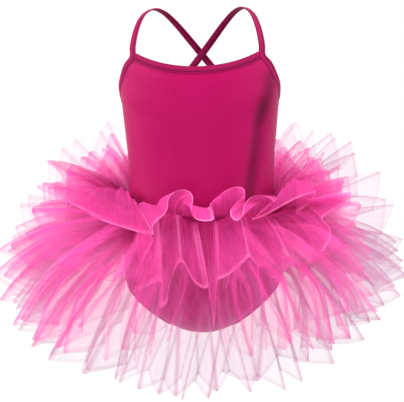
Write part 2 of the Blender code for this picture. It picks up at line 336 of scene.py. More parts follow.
@dataclass(frozen=True)
class Tulle:
    """Soft nylon net, see-through where it lies single and denser where it folds.

    Attributes:
        painted_fold_colour, gather_shade_colour: the colour painted along folds and the hem, a
            painted highlight on the draped and ruffle nets and painted shade on the pink and pale
            ones, and the painted shade where the net is gathered near its seam.
        opacity, fold_opacity, hem_opacity: how much a single layer covers, and how much more a
            folded edge and the hem do.
        net_scale, mottle_scale, fibre_scale: cells of net, spots and streaks to a metre.
        through: the share of the light that passes through rather than being thrown back.
    """

    name: str
    colour: Colour
    painted_fold_colour: Colour
    gather_shade_colour: Colour
    opacity: float
    fold_opacity: float
    hem_opacity: float
    net_scale: float = 620.0
    mottle_scale: float = 38.0
    fibre_scale: float = 230.0
    through: float = 0.45

    def material(self) -> bpy.types.Material:
        """The finish as nodes, by the marks that the mesh carries.

        The plain cloth's opacity varies with the net's threads, a slow mottle and streaks of fibre
        that run from seam to hem, and goes down with "faded". The marks "fold" and "hem" add their
        own shares, and "clear" takes away from the sum. "gather_shade" paints shade near the seam,
        and "fold" and "hem" paint painted_fold_colour along the folds and the hem.
        """
        shader = Shader(self.name)
        cloth = shader.cloth()
        fold, hem = shader.mark("fold"), shader.mark("hem")
        net = shader.add("ShaderNodeTexVoronoi", {
            "Vector": cloth, "Scale": self.net_scale, "Randomness": 0.25},
            feature="DISTANCE_TO_EDGE", voronoi_dimensions="2D").outputs["Distance"]
        threads = shader.maths("SUBTRACT", 1.25, shader.times(net, 1.2))
        spots = shader.times(shader.noise(cloth, self.mottle_scale), 0.5)
        mottle = shader.maths("ADD", 0.75, spots)
        drawn = shader.add("ShaderNodeMapping", {"Vector": cloth, "Scale": (1.0, 0.05, 1.0)})
        streaks = shader.maths("ADD", 0.5, shader.noise(drawn.outputs[0], self.fibre_scale))
        plain = shader.times(self.opacity, threads, shader.times(mottle, streaks),
                             shader.rest(shader.mark("faded")))
        edges = shader.maths("ADD", shader.times(fold, self.fold_opacity),
                             shader.times(hem, self.hem_opacity))
        cover = shader.times(shader.maths("ADD", plain, edges), shader.rest(shader.mark("clear")))
        # Painted shade near the seam, where the net is gathered.
        colour = shader.blend(shader.mark("gather_shade"), self.colour, self.gather_shade_colour)
        # Painted highlight along folds and the hem where painted_fold_colour is lighter than the
        # net, painted shade where it is darker.
        colour = shader.blend(shader.maths("MAXIMUM", fold, hem), colour, self.painted_fold_colour)
        lit = shader.add("ShaderNodeBsdfPrincipled", {
            "Base Color": colour, "Roughness": 0.8, "Specular IOR Level": 0.1,
            "Sheen Weight": 0.05, "Sheen Roughness": 0.5, "Sheen Tint": (1.0, 0.4, 0.7, 1.0)})
        through = shader.add("ShaderNodeBsdfTranslucent", {"Color": colour})
        both = shader.add("ShaderNodeMixShader", {0: self.through, 1: lit.outputs[0],
                                                  2: through.outputs[0]})
        clear = shader.add("ShaderNodeBsdfTransparent")
        surface = shader.add("ShaderNodeMixShader", {0: shader.maths("MINIMUM", cover, 1.0),
                                                     1: clear.outputs[0], 2: both.outputs[0]})
        return shader.finish(surface.outputs[0])


KNIT = Jersey("fuchsia_jersey", dark=(0.196, 0.0016, 0.043), bright=(0.218, 0.0022, 0.049))
BOUND = Jersey("fuchsia_binding", dark=(0.155, 0.0024, 0.036), bright=(0.185, 0.003, 0.043),
               rib_pitch=0.7, roughness=0.62)
SEWN = Thread("fuchsia_thread", (0.33, 0.014, 0.095))
PINK_NET = Tulle("hot_pink_tulle", colour=(0.68, 0.112, 0.38), painted_fold_colour=(0.58, 0.045, 0.25),
                 gather_shade_colour=(0.52, 0.014, 0.17), opacity=0.20, fold_opacity=0.46, hem_opacity=0.12)
DRAPE_NET = Tulle("draped_tulle", colour=(0.66, 0.050, 0.29), painted_fold_colour=(0.78, 0.16, 0.43),
                  gather_shade_colour=(0.54, 0.016, 0.18), opacity=0.42, fold_opacity=0.14, hem_opacity=0.30)
RUFFLE_NET = Tulle("ruffle_tulle", colour=(0.60, 0.050, 0.27), painted_fold_colour=(0.76, 0.17, 0.42),
                   gather_shade_colour=(0.54, 0.028, 0.21), opacity=0.74, fold_opacity=0.12, hem_opacity=0.3)
PALE_NET = Tulle("pale_pink_tulle", colour=(0.42, 0.14, 0.30), painted_fold_colour=(0.32, 0.08, 0.20),
                 gather_shade_colour=(0.46, 0.10, 0.26), opacity=0.150, fold_opacity=0.40, hem_opacity=0.10)


@dataclass(frozen=True)
class Crease:
    """One soft trough in a panel.

    Attributes:
        top, bottom: the x and z of its line's two ends.
        depth, width: how deep and half how wide it is, in millimetres; at depth zero it is no
            trough, only a band of painted shade.
        shade: how much painted shade lies along its line, from zero to one.
    """

    top: tuple[float, float]
    bottom: tuple[float, float]
    depth: float
    width: float
    shade: float = 0.0

    def hollow(self, x: Array, z: Array) -> Array:
        """The crease's form, from zero to one: a bell across its line, fading at both ends."""
        share = (z - self.top[1]) / (self.bottom[1] - self.top[1])
        line = self.top[0] + (self.bottom[0] - self.top[0]) * share
        return bump(x - line, self.width) * np.sin(np.pi * np.clip(share, 0, 1)) ** 0.6


def panel_points(sections: Array | Rows, columns: int, tuck: float = 0.0) -> Array:
    """A panel's points, sections by columns.

    A section runs from one edge of the panel through its centre to the other. At angle a within
    the section's turn T, x is edge_x sin a / sin T, and the share (1 - cos a) / (1 - cos T) takes
    y and z from the centre's values to the edge's.

    Args:
        sections: rows of the turn in degrees, the centre's y and z, and the edge's x, y and z.
        columns: how many points a section has.
        tuck: the share of its turn by which a section that ends in a binding is longer.

    Returns:
        The points, in millimetres.
    """
    turn, centre_y, centre_z, edge_x, edge_y, edge_z = np.array(sections, float).T[:, :, None]
    edge = np.radians(turn)
    bound = np.clip((89 - turn) / 4, 0, 1)
    angle = edge * np.linspace(-1, 1, columns)[None, :] * (1 + tuck * bound)
    share = (1 - np.cos(angle)) / (1 - np.cos(edge))
    return np.stack([edge_x * np.sin(angle) / np.sin(edge), centre_y + (edge_y - centre_y) * share,
                     centre_z + (edge_z - centre_z) * share], -1)


@dataclass(frozen=True)
class Panel:
    """One knit panel of the leotard, a curved sheet from side seam to side seam.

    Attributes:
        rows: its sections from the top binding to the crotch, as panel_points reads them.
        above, tuck: how far it runs into the top binding and into the others, as shares of a row
            and of its turn.
        seam_shade: how much painted shade lies on its first two sections and its outer two columns,
            beside its bindings and seams.
    """

    name: str
    node: str
    rows: Rows
    creases: tuple[Crease, ...]
    wall: float = 1.2
    columns: int = 120
    steps_a_row: int = 6
    above: float = 0.13
    tuck: float = 0.025
    seam_shade: float = 0.5

    def sections(self) -> Array:
        """The section table, made smooth and dense from the top binding's fold to the crotch."""
        last = len(self.rows) - 1
        keyed = np.column_stack([np.arange(last + 1), np.array(self.rows, float)])
        return smooth(keyed, np.linspace(-self.above, last, last * self.steps_a_row + 2))

    def build(self, finish: bpy.types.Material) -> None:
        """The shell, with its creases drawn in along its own normals."""
        plain = panel_points(self.sections(), self.columns, self.tuck)
        normals = unit(np.cross(np.gradient(plain, axis=1), np.gradient(plain, axis=0)))
        outward = plain * (1, 1, 0) + (0, 0, -40)
        normals *= np.sign((normals * outward).sum(-1, keepdims=True))
        hollows = [crease.hollow(plain[..., 0], plain[..., 2]) for crease in self.creases]
        inward = sum(crease.depth * hollow for crease, hollow in zip(self.creases, hollows))
        # Painted shade, in the mark "shade": along the creases, and along the top edge and both
        # outer edges.
        shade = sum(crease.shade * hollow for crease, hollow in zip(self.creases, hollows))
        shade[:2] += self.seam_shade
        shade[:, [0, 1, -2, -1]] += self.seam_shade
        grid = plain - normals * inward[..., None]
        run = np.cumsum(np.linalg.norm(np.diff(grid, axis=1, prepend=grid[:, :1]), axis=-1), axis=1)
        run = run - run[:, self.columns // 2, None]
        fall = np.cumsum(np.linalg.norm(np.diff(grid, axis=0, prepend=grid[:1]), axis=-1), axis=0)
        faces = grid_faces(*grid.shape[:2], ring=False)
        facing = np.cross(grid[1, 0] - grid[0, 0], grid[0, 1] - grid[0, 0]) @ normals[0, 0]
        piece = make_mesh(self.name, grid.reshape(-1, 3), faces[:, ::-1] if facing > 0 else faces,
                          finish, cloth_places(run, -fall), {"shade": np.clip(shade, 0, 1)})
        thicken(piece, self.wall)
        own(piece, Slot.KNIT, self.node)


# The x, y and z of the side seam, from under the arm to the leg opening.
SIDE_SEAM: Rows = (
    (98.5, 0, -126), (96, 0, -153), (93, 0, -185), (92, 0, -215), (93.5, 0, -245),
    (96, 0, -272), (99.5, 0, -300), (100.5, 0, -328), (99.2, 0, -345.8),
)


def seamed(centres: Rows) -> Rows:
    """Section rows of a quarter turn each way, from a centre line's y and z to the side seam."""
    return tuple((90, *centre, *edge) for centre, edge in zip(centres, SIDE_SEAM))


FRONT_ROWS: Rows = (
    (49, -67, -80, 78.0, -46, -63.5),
    (58, -69, -91, 86.5, -41, -74),
    (68, -70, -102, 92.5, -33, -86),
    (78, -70.6, -116, 98, -22, -100),
    (85, -70.7, -128, 99, -10.5, -113.5),
    *seamed(((-70.3, -137), (-68.8, -157), (-66.9, -185), (-66.2, -215), (-68, -245),
             (-71, -272), (-74, -300), (-75, -328), (-75.2, -343.5))),
    (88, -75, -350, 98.5, -4, -347),
    (74, -72.5, -364, 94.5, -21, -351.5),
    (62, -68.5, -379, 84, -36, -361),
    (50, -61, -392, 68, -43, -375),
    (40, -47, -403, 51, -38, -389.5),
    (33, -27, -411, 38, -24, -401.5),
    (28, 5.4, -415, 28, 5.4, -409),
)
BACK_ROWS: Rows = (
    *seamed(((62, -136), (61, -157), (60, -185), (60, -215), (63, -245),
             (68, -272), (75, -300), (80, -328), (80.7, -344))),
    (88, 81, -352, 98.5, 4, -347),
    (75, 79, -367, 94.5, 22, -351.5),
    (62, 74, -382, 84.5, 38, -361.5),
    (50, 64, -395, 69, 45, -375),
    (40, 49, -405, 53, 39, -389),
    (33, 29, -412, 39, 26, -401),
    (28, 5.4, -415, 28, 5.4, -409),
)
ARMHOLE_ROWS = 6
FRONT_LEG_ROW = 14
BACK_LEG_ROW = 9
FRONT_PANEL = Panel("front_of_leotard", "front_panel", FRONT_ROWS, creases=(
    # The first three are painted shade down the right of the front: the first and third have no
    # trough, and the second is a trough as well. The rest are troughs alone.
    Crease(top=(97, -64), bottom=(76, -152), depth=0.0, width=9.0, shade=0.60),
    Crease(top=(79, -112), bottom=(53, -310), depth=4.0, width=8.0, shade=0.60),
    Crease(top=(96, -70), bottom=(92, -320), depth=0.0, width=24.0, shade=0.16),
    Crease(top=(-88, -118), bottom=(-70, -230), depth=1.0, width=7.0),
    Crease(top=(-30, -215), bottom=(-48, -300), depth=0.8, width=8.0),
    Crease(top=(14, -225), bottom=(22, -300), depth=0.7, width=9.0),
))
BACK_PANEL = Panel("back_of_leotard", "back_panel", BACK_ROWS, creases=(
    Crease(top=(-72, -132), bottom=(-52, -292), depth=2.6, width=9.0),
    Crease(top=(64, -140), bottom=(50, -285), depth=1.8, width=8.0),
    Crease(top=(6, -190), bottom=(-4, -300), depth=1.0, width=11.0),
    Crease(top=(-20, -300), bottom=(-44, -385), depth=1.0, width=8.0),
    Crease(top=(22, -300), bottom=(40, -385), depth=0.9, width=8.0),
))


@dataclass(frozen=True)
class Binding:
    """A folded jersey binding: a flat tube with two sewn ridges, carried along its middle line.

    The section goes round a superellipse, |side / half_width|^4 + |up / half_wall|^2.5 = 1, whose
    two flat faces dip along the middle and beside both rows of stitches.

    Attributes:
        centres, sides, normals: its middle line, and the directions of its width and its face.
        end_shares: the first and last sections' sizes, where it isn't a ring.
        stitch_rows, stitch_depth: where the stitches lie, as shares of half the width and wall.
        stitch_dip, middle_dip: the depth and width of the faces' dips, as such shares.
        ridge_shade, fold_shade, stitch_shade: how much painted shade lies on the slope of the outer
            ridge, beyond the inner fold and along the stitches, each with where or how widely.
    """

    name: str
    node: str
    centres: Array
    sides: Array
    normals: Array
    width: float
    wall: float = 2.4
    ring: bool = False
    section_points: int = 36
    end_shares: tuple[float, ...] = (0.02, 0.55, 0.85)
    stitch_rows: tuple[float, ...] = (-0.30, 0.30)
    stitch_pitch: float = 2.6
    stitch_length: float = 1.7
    stitch_radius: float = 0.22
    stitch_depth: float = 0.74
    stitch_dip: tuple[float, float] = (0.24, 0.10)
    middle_dip: tuple[float, float] = (0.12, 0.16)
    ridge_shade: tuple[float, float, float] = (0.85, 0.5, 0.17)
    fold_shade: tuple[float, float] = (0.55, -0.85)
    stitch_shade: tuple[float, float] = (0.3, 0.1)

    def section(self) -> tuple[Array, Array]:
        """The section's shares of half the width and of half the wall, once round."""
        turn = full_turn(self.section_points)
        side = signed_power(np.cos(turn), 0.5)
        dips = self.along_stitches(side, *self.stitch_dip)
        middle, width = self.middle_dip
        height = signed_power(np.sin(turn), 0.8) * (0.92 - dips - middle * bump(side, width))
        return side, height

    def along_stitches(self, side: Array, size: float, width: float) -> Array:
        """Soft hills of that size and width along the rows of stitches."""
        return sum(size * bump(side - row, width) for row in self.stitch_rows)

    def shade(self, side: Array) -> Array:
        """How dark the cloth is round the section: at its outer ridge, inner fold and stitches."""
        # Painted shade for the section's dips, slope and inner fold, carried by the mark "shade".
        ridge, place, width = self.ridge_shade
        fold, edge = self.fold_shade
        seams = self.along_stitches(side, *self.stitch_shade)
        return np.clip(ridge * bump(side - place, width) + fold * (side < edge) + seams, 0, 1)

    def build(self, cloth: bpy.types.Material, thread: bpy.types.Material) -> None:
        """The binding's tube and its rows of stitches."""
        side, height = self.section()
        points = (self.centres[:, None]
                  + self.sides[:, None] * (side * self.width / 2)[None, :, None]
                  + self.normals[:, None] * (height * self.wall / 2)[None, :, None])
        count = len(self.centres)
        if not self.ring:
            for k, share in enumerate(self.end_shares):
                for i in (k, -1 - k):
                    points[i] = self.centres[i] + (points[i] - self.centres[i]) * share
        faces = grid_faces(count + self.ring, self.section_points, ring=True)
        faces %= count * self.section_points
        facing = np.cross(self.sides[0], along(self.centres, self.ring)[0]) @ self.normals[0]
        uv = cloth_places(side[None, :] * self.width / 2, travelled(self.centres)[:, None])
        piece = make_mesh(self.name, points.reshape(-1, 3), faces if facing > 0 else faces[:, ::-1],
                          cloth, uv, {"shade": np.tile(self.shade(side), count)})
        own(piece, Slot.BINDING, self.node)
        self.sew(thread)

    def sew(self, thread: bpy.types.Material) -> None:
        """Lays the stitches: short beads along each row, on both faces of the binding."""
        lines = (self.centres, self.sides, self.normals)
        if self.ring:
            lines = tuple(closed(line) for line in lines)
        lengths = travelled(lines[0])
        places = np.arange(self.stitch_pitch, lengths[-1] - self.stitch_pitch, self.stitch_pitch)
        centre, side, normal = (
            np.stack([np.interp(places, lengths, values) for values in line.T], -1)
            for line in lines)
        side, normal = unit(side), unit(normal)
        depth = self.wall / 2 * self.stitch_depth
        middles = [centre + side * row * self.width / 2 + normal * depth * face
                   for row in self.stitch_rows for face in (1, -1)]
        forward, up = (np.tile(way, (len(middles), 1))
                       for way in (unit(np.cross(side, normal)), normal))
        beads = Beads(self.stitch_length / 2, self.stitch_radius)
        own(beads.build(f"{self.name}_stitches", np.vstack(middles), forward, up, thread),
            Slot.BINDING)


@dataclass(frozen=True)
class Beads:
    """Many copies of one small rounded bead: a six-sided spindle whose radius is r sqrt(1 - t^2)."""

    half_length: float
    radius: float
    rings: tuple[float, ...] = (-0.97, -0.6, 0.6, 0.97)
    corners: int = 6

    def build(self, name: str, middles: Array, forward: Array, up: Array,
              material: bpy.types.Material) -> bpy.types.Object:
        """One joined mesh of a bead at each middle.

        Args:
            name: the piece's name.
            middles: where the beads lie, in millimetres.
            forward: each bead's long direction.
            up: each bead's upward direction, square to it.
            material: the beads' finish.

        Returns:
            The joined object.
        """
        turn = full_turn(self.corners)
        t = np.repeat(self.rings, self.corners)
        radius = self.radius * np.sqrt(1 - t**2)
        a = np.tile(turn, len(self.rings))
        beside = np.cross(forward, up)
        points = (middles[:, None] + forward[:, None] * (t * self.half_length)[None, :, None]
                  + up[:, None] * (radius * np.cos(a))[None, :, None]
                  + beside[:, None] * (radius * np.sin(a))[None, :, None])
        walls = grid_faces(len(self.rings), self.corners, ring=True)
        first = np.array([[0, 1, 2, 3], [0, 3, 4, 5]])
        last = first[:, ::-1] + self.corners * (len(self.rings) - 1)
        one = np.vstack([walls[:, ::-1], first[:, ::-1], last[:, ::-1]])
        each = np.arange(len(middles))[:, None, None] * len(t)
        return make_mesh(name, points.reshape(-1, 3), (one[None] + each).reshape(-1, 4), material)


# The middle line's x, y and z over the shoulder, and the direction of the strap's face there.
STRAP_ROWS: Rows = (
    (80.2, -43.0, -46, 0.5, -0.85, 0.12),
    (76.7, -37, -28, 0.58, -0.78, 0.2),
    (71, -27, -12.5, 0.6, -0.62, 0.5),
    (64, -14, -4, 0.5, -0.35, 0.8),
    (55, 0, -1.2, 0.2, 0.0, 0.98),
    (44, 16, -7, -0.05, 0.45, 0.88),
    (31, 30, -21, -0.1, 0.75, 0.65),
    (17, 41, -39, -0.05, 0.93, 0.35),
    (2.5, 49, -58, 0.0, 0.98, 0.18),
    (-14, 53.5, -79, -0.05, 0.99, 0.1),
    (-31, 54.5, -103, -0.2, 0.97, 0.08),
)


@dataclass(frozen=True)
class Leotard:
    """The knit body: two panels, their bindings, and the straps that run on from the armholes.

    The seams are measured on panels of panel_columns, and a binding has that many steps to each
    point there. Where the straps cross, each gives way by crossing_lift. The leg bindings face
    as an ellipsoid of hip_sizes does, whose middle is at hip_height.
    """

    seam_gap: float = 0.3
    leg_gap: float = 0.5
    end_tuck: float = 2.4
    binding_width: float = 9.0
    leg_width: float = 6.0
    binding_wall: float = 2.4
    panel_columns: int = 18
    crossing_height: float = -60.0
    crossing_spread: float = 24.0
    crossing_lift: float = 1.8
    strap_foot_column: int = 3
    hip_height: float = -305.0
    hip_sizes: tuple[float, float, float] = (100.0, 78.0, 112.0)
    steps: int = 12

    def dense(self, *lines: Array, ring: bool = False) -> list[Array]:
        """Lines of points that go together, made smooth and dense by the first one's length."""
        first = lines[0]
        if ring:
            lengths = travelled(closed(first))
            places = np.linspace(0, lengths[-1], len(first) * self.steps, endpoint=False)
            made = smooth(np.column_stack([lengths[:-1], *lines]), places, period=lengths[-1])
        else:
            lengths = travelled(first)
            places = np.linspace(0, lengths[-1], (len(first) - 1) * self.steps + 1)
            made = smooth(np.column_stack([lengths, *lines]), places)
        return np.split(made, len(lines), axis=1)

    def off_edge(self, edge: Array, inner: Array) -> tuple[Array, Array]:
        """The sides that point off a panel's edge, and the panel's outer normals there."""
        tangents = along(edge)
        sides = across(edge - inner, tangents)
        normals = unit(np.cross(sides, tangents))
        return sides, normals * np.sign((normals * edge * (1, 1, 0)).sum())

    def squared(self, centres: Array, normals: Array, ring: bool = False) -> tuple[Array, Array]:
        """Sides and normals made square to a line of centres."""
        tangents = along(centres, ring)
        normals = across(normals, tangents)
        return np.cross(tangents, normals), normals

    def top_binding(self, name: str, node: str, panel: Array) -> Binding:
        """The binding along a panel's top edge, from one armhole to the other."""
        sides, normals = self.off_edge(panel[0], panel[1])
        centres = panel[0] + sides * (self.seam_gap + self.binding_width / 2)
        ends = self.end_tuck * along(centres)[[0, -1]] * ((-1,), (1,))
        centres = np.vstack([centres[0] + ends[0], centres, centres[-1] + ends[1]])
        normals = np.vstack([normals[0], normals, normals[-1]])
        centres, normals = self.dense(centres, normals)
        return Binding(name, node, centres, *self.squared(centres, normals), self.binding_width)

    def strap(self, name: str, node: str, front: Array, back: Array, side: int) -> Binding:
        """An armhole binding, at +X for side 1, that runs on over the shoulder to the back."""
        edge_column, inner_column = (-1, -2) if side > 0 else (0, 1)
        edge = front[:ARMHOLE_ROWS, edge_column][::-1]
        sides, normals = self.off_edge(edge, front[:ARMHOLE_ROWS, inner_column][::-1])
        sides[0] = (0.0, 0.0, 1.0)
        armhole = np.hstack([edge + sides * (self.seam_gap + self.binding_width / 2), normals])
        rows = np.array(STRAP_ROWS, float) * (side, 1, 1, side, 1, 1)
        behind = rows[:, 1] > 0
        rows[behind, 1] -= side * self.crossing_lift * bump(
            rows[behind, 2] - self.crossing_height, self.crossing_spread)
        up, face = self.off_edge(back[0], back[1])
        foot = (back[0] + up * (self.seam_gap + self.binding_width / 2)
                - face * (self.binding_wall + self.seam_gap))
        column = self.panel_columns // 2 - side * self.strap_foot_column
        whole = np.vstack([armhole, rows, np.r_[foot[column], face[column]]])
        centres, normals = self.dense(whole[:, :3], whole[:, 3:])
        return Binding(name, node, centres, *self.squared(centres, normals), self.binding_width)

    def leg(self, name: str, node: str, front: Array, back: Array, side: int) -> Binding:
        """The ring of binding round one leg opening, facing as the hips' ellipsoid does."""
        edge_column, inner_column = (-1, -4) if side > 0 else (0, 3)
        edge, inner = (np.concatenate([front[FRONT_LEG_ROW:, c], back[BACK_LEG_ROW:-1, c][::-1]])
                       for c in (edge_column, inner_column))
        tangents = along(edge, ring=True)
        normals = across((edge - (0, 0, self.hip_height)) / np.square(self.hip_sizes), tangents)
        sides = np.cross(normals, tangents)
        sides *= np.sign((sides * (edge - inner)).sum())
        centres = edge + sides * (self.leg_gap + self.leg_width / 2)
        centres, normals = self.dense(centres, normals, ring=True)
        return Binding(name, node, centres, *self.squared(centres, normals, ring=True),
                       self.leg_width, ring=True, stitch_rows=(-0.28, 0.28))

    def build(self) -> None:
        """Builds and dresses the leotard's pieces."""
        knit, bound, thread = KNIT.material(), BOUND.material(), SEWN.material()
        FRONT_PANEL.build(knit)
        BACK_PANEL.build(knit)
        front, back = (panel_points(rows, self.panel_columns + 1)
                       for rows in (FRONT_ROWS, BACK_ROWS))
        bindings = [self.top_binding("neckline_binding", "neck_binding", front),
                    self.top_binding("low_back_binding", "back_binding", back)]
        for word, side in (("right", 1), ("left", -1)):
            panels = (front, back, side)
            bindings.append(self.strap(f"{word}_strap", f"strap_{word}", *panels))
            bindings.append(self.leg(f"{word}_leg_binding", f"leg_binding_{word}", *panels))
        for binding in bindings:
            binding.build(bound, thread)


def body_outline(turn: Array, height: float) -> tuple[Array, Array]:
    """The leotard's outline at a height: its points as x and y, and its normals.

    It is an ellipse of one half width, with one depth in front and another behind. The turn is in
    radians from the front.
    """
    front = np.array([(-r[2], r[1], r[3]) for r in FRONT_ROWS[ARMHOLE_ROWS:FRONT_LEG_ROW]])
    back = np.array([(-r[2], r[1]) for r in BACK_ROWS[1:BACK_LEG_ROW]])
    half_width = np.interp(-height, front[:, 0], front[:, 2])
    depth = np.where(np.cos(turn) >= 0, -np.interp(-height, front[:, 0], front[:, 1]),
                     np.interp(-height, back[:, 0], back[:, 1]))
    point = np.column_stack([half_width * np.sin(turn), -depth * np.cos(turn)])
    normal = np.column_stack([np.sin(turn) / half_width, -np.cos(turn) / depth])
    return point, unit(normal)


@dataclass(frozen=True)
class HipTape:
    """The tape sewn round the hips, with the rows of stitches that hold the tulle."""

    top: float = -256.5
    bottom: float = -293.0
    out: float = 1.5
    wall: float = 1.0
    columns: int = 288
    rows: int = 18
    pucker: float = 0.15
    puckers: int = 72
    stitch_heights: tuple[float, ...] = (-260.0, -266.0, -272.0, -278.0, -284.0, -289.0)
    stitch_count: int = 180
    stitch_out: float = 0.55

    def level(self, turn: Array, height: float, out: Array | float) -> tuple[Array, Array]:
        """Points at one height, that far out from the leotard, and their normals."""
        point, normal = body_outline(turn, height)
        points = point + normal * np.reshape(out, (-1, 1))
        return (np.column_stack([points, np.full(len(turn), height)]),
                np.column_stack([normal, np.zeros(len(turn))]))

    def build(self, cloth: bpy.types.Material, thread: bpy.types.Material) -> None:
        """The tape as a ring of cloth that puckers a little, and its stitches."""
        turn = full_turn(self.columns, -math.pi)
        heights = np.linspace(self.top, self.bottom, self.rows)
        outs = self.out + self.pucker * np.sin(turn * self.puckers + np.arange(self.rows)[:, None])
        grid = np.stack([self.level(turn, height, out)[0] for height, out in zip(heights, outs)])
        around = travelled(grid[0])
        faces = grid_faces(self.rows, self.columns, ring=True)
        piece = make_mesh("hip_tape", grid.reshape(-1, 3), faces, cloth,
                          cloth_places(around[None, :], heights[:, None]))
        thicken(piece, self.wall)
        own(piece, Slot.BINDING, "waist_tape")
        turn = full_turn(self.stitch_count, -math.pi)
        middles, up = map(np.vstack, zip(*(self.level(turn, height, self.out + self.stitch_out)
                                           for height in self.stitch_heights)))
        stitches = Beads(half_length=1.0, radius=0.25).build(
            "hip_tape_stitches", middles, unit(np.cross(up, (0, 0, 1))), up, thread)
        own(stitches, Slot.BINDING)


@dataclass(frozen=True)
class Gather:
    """One length of tulle gathered round the hips and pleated all the way to its hem.

    Along the cloth, at share v of its length, the slope turns evenly from rise to fall, so the
    cloth follows an arc. Round the body its path is a meander: at pleat number p it heads
    a g(p) + b sin(2 pi k p) off the way round, where g is a sine with flattened tops, a is the
    main pleats' swing and b that of the fine gathers. The cut is as long at the seam as at the
    hem, so at each v the two swings together shorten the path to the way round the body there,
    and the fine gathers' share of this fades from the seam outwards.

    Attributes:
        rows, longer: directions round the body, and there the cloth's length, rise and fall, in
            degrees; a factor on the lengths.
        root_z, root_out: its seam's height, and how far off the leotard the seam is.
        fullness: how long the cut is against the way round its hem.
        crisp: how flat the tops of the main pleats' headings are.
        tilt, curl, sway: how far the pleats differ in rise and in fall, and the rise in slow
            waves round the body, in degrees.
        drift, reach, wander, width_spread: how far they differ in place, length, swing and width.
        point: how much longer the cloth is at one folded edge and shorter at the other.
        fine, gathered, gathered_to: the fine gathers to a main pleat, their share of the
            shortening at the seam, and where along the length it ends.
        hem_line: the share of the length at which the marked hem begins.
        thin, thin_turn, thin_to: how clear the net is before the brief, over how many degrees and
            down to which share of its length.
        fade, side_fade: how much it fades towards its hem, and away from the front.
        front_turn, front_width: the front's middle and half width for this, in degrees.
        hand, hand_step, lead: the front folds, listed one by one, their columns' spacing, and
        how many pleated columns on each side they take the place of.
        seam_ripple, net_ripple: the height and reach of the small waves across the net of the listed
            folds.
    """

    name: str
    rows: Rows
    root_z: float
    pleats: int
    seed: int
    fullness: float
    longer: float = 1.0
    crisp: float = 1.6
    tilt: float = 5.0
    curl: float = 6.0
    drift: float = 0.3
    reach: float = 0.06
    wander: float = 0.22
    width_spread: float = 0.35
    sway: float = 4.0
    point: float = 0.05
    fine: int = 4
    gathered: float = 0.92
    gathered_to: float = 0.7
    hem_line: float = 0.985
    points_a_pleat: int = 28
    steps: int = 26
    root_out: float = 3.6
    fold_width: float = 0.036
    thin: float = 0.0
    thin_turn: float = 34.0
    thin_to: float = 1.3
    fade: float = 0.0
    side_fade: float = 0.0
    front_turn: float = 8.0
    front_width: float = 75.0
    hand: Rows = ()
    hand_step: float = 2.2
    lead: int = 6
    seam_ripple: tuple[float, float] = (0.7, 1.5)
    net_ripple: tuple[float, float] = (7.0, 4.2)

    def uneven(self, draws: np.random.Generator, place: Array, spread: float) -> Array:
        """A number for each pleat, between -spread and spread, blended along the pleats."""
        values = draws.uniform(-spread, spread, self.pleats)
        share = place % 1
        eased = np.floor(place) + share * share * (3 - 2 * share)
        return np.interp(eased, np.arange(self.pleats + 1), closed(values))

    def swell(self, draws: np.random.Generator, azimuth: Array, spread: float) -> Array:
        """A slow unevenness round the body: waves of 3, 5 and 8 turns, of drawn phases."""
        phases = draws.uniform(0, 2 * math.pi, 3)
        turn = np.radians(azimuth)
        return spread * sum(size * np.sin(n * turn + phase) for n, size, phase in
                            zip((3, 5, 8), (0.4, 0.35, 0.25), phases))

    def wave(self, phase: Array) -> Array:
        """The main pleats' heading, from -1 to 1: a sine with its tops flattened by tanh."""
        return np.tanh(self.crisp * np.sin(phase)) / math.tanh(self.crisp)

    def arc(self, azimuth: Array, share: Array, tilt: Array | float = 0.0,
            curl: Array | float = 0.0, stretch: Array | float = 1.0) -> tuple[Array, Array, Array]:
        """The arc that the cloth follows out from its seam.

        Args:
            azimuth: directions round the body in degrees.
            share: shares of the cloth's length.
            tilt: degrees to add to the slope all along.
            curl: degrees to add to the fall at the hem.
            stretch: a factor on the length.

        Returns:
            How far out and how far up the cloth is, and its slope in radians.
        """
        wrapped = (azimuth + 180) % 360 - 180
        length, rise, fall = np.moveaxis(
            smooth(self.rows, wrapped.ravel(), period=360).reshape(*wrapped.shape, 3), -1, 0)
        length = length * self.longer * stretch
        rise = np.radians(rise + tilt)
        bend = np.radians(fall + curl) - rise + np.radians(tilt)
        bend = np.where(np.abs(bend) < 0.02, 0.02, bend)
        slope = rise + bend * share
        out = length * (np.sin(slope) - np.sin(rise)) / bend
        up = -length * (np.cos(slope) - np.cos(rise)) / bend
        return out, up, slope

    def lay(self, azimuth: Array, share: Array, arc: tuple[Array, Array, Array],
            off: Array | float = 0.0) -> Array:
        """The points of cloth on an arc, and that many millimetres off it across its slope."""
        out, up, slope = arc
        turn = np.radians(azimuth)
        point, normal = body_outline(turn.ravel(), self.root_z)
        point, normal = point.reshape(*turn.shape, 2), normal.reshape(*turn.shape, 2)
        outward = np.stack([np.sin(turn), -np.cos(turn)], -1)
        flat = (point + normal * self.root_out
                + outward * (out - np.sin(slope) * off * share)[..., None])
        level = self.root_z + up + (np.cos(slope) * share + 1 - share) * off
        return np.concatenate([flat, level[..., None]], -1)

    def ways_round(self, share: Array) -> Array:
        """How far it is round the body at each share of the length, without any pleats."""
        azimuth = np.broadcast_to(np.linspace(-180, 180, 145)[None], (len(share), 145))
        grid = self.lay(azimuth, share, self.arc(azimuth, share))
        return np.linalg.norm(np.diff(grid, axis=1), axis=-1).sum(1)

    def swing(self, shortening: Array, wave: Array) -> Array:
        """The swing at which a path that heads swing times wave shortens by that much."""
        swings = np.linspace(0, 2.5, 200)
        means = np.cos(swings[:, None] * wave[None]).mean(1)
        falling = means[: int(np.argmin(means)) + 1]
        return np.interp(-shortening, -falling, swings[: len(falling)])[:, None]

    def shares(self) -> Array:
        """The rows' shares of the cloth's length, with one more close to the hem."""
        even = np.linspace(0, 1, self.steps - 1) ** 0.9
        return np.insert(even, -1, self.hem_line)[:, None]

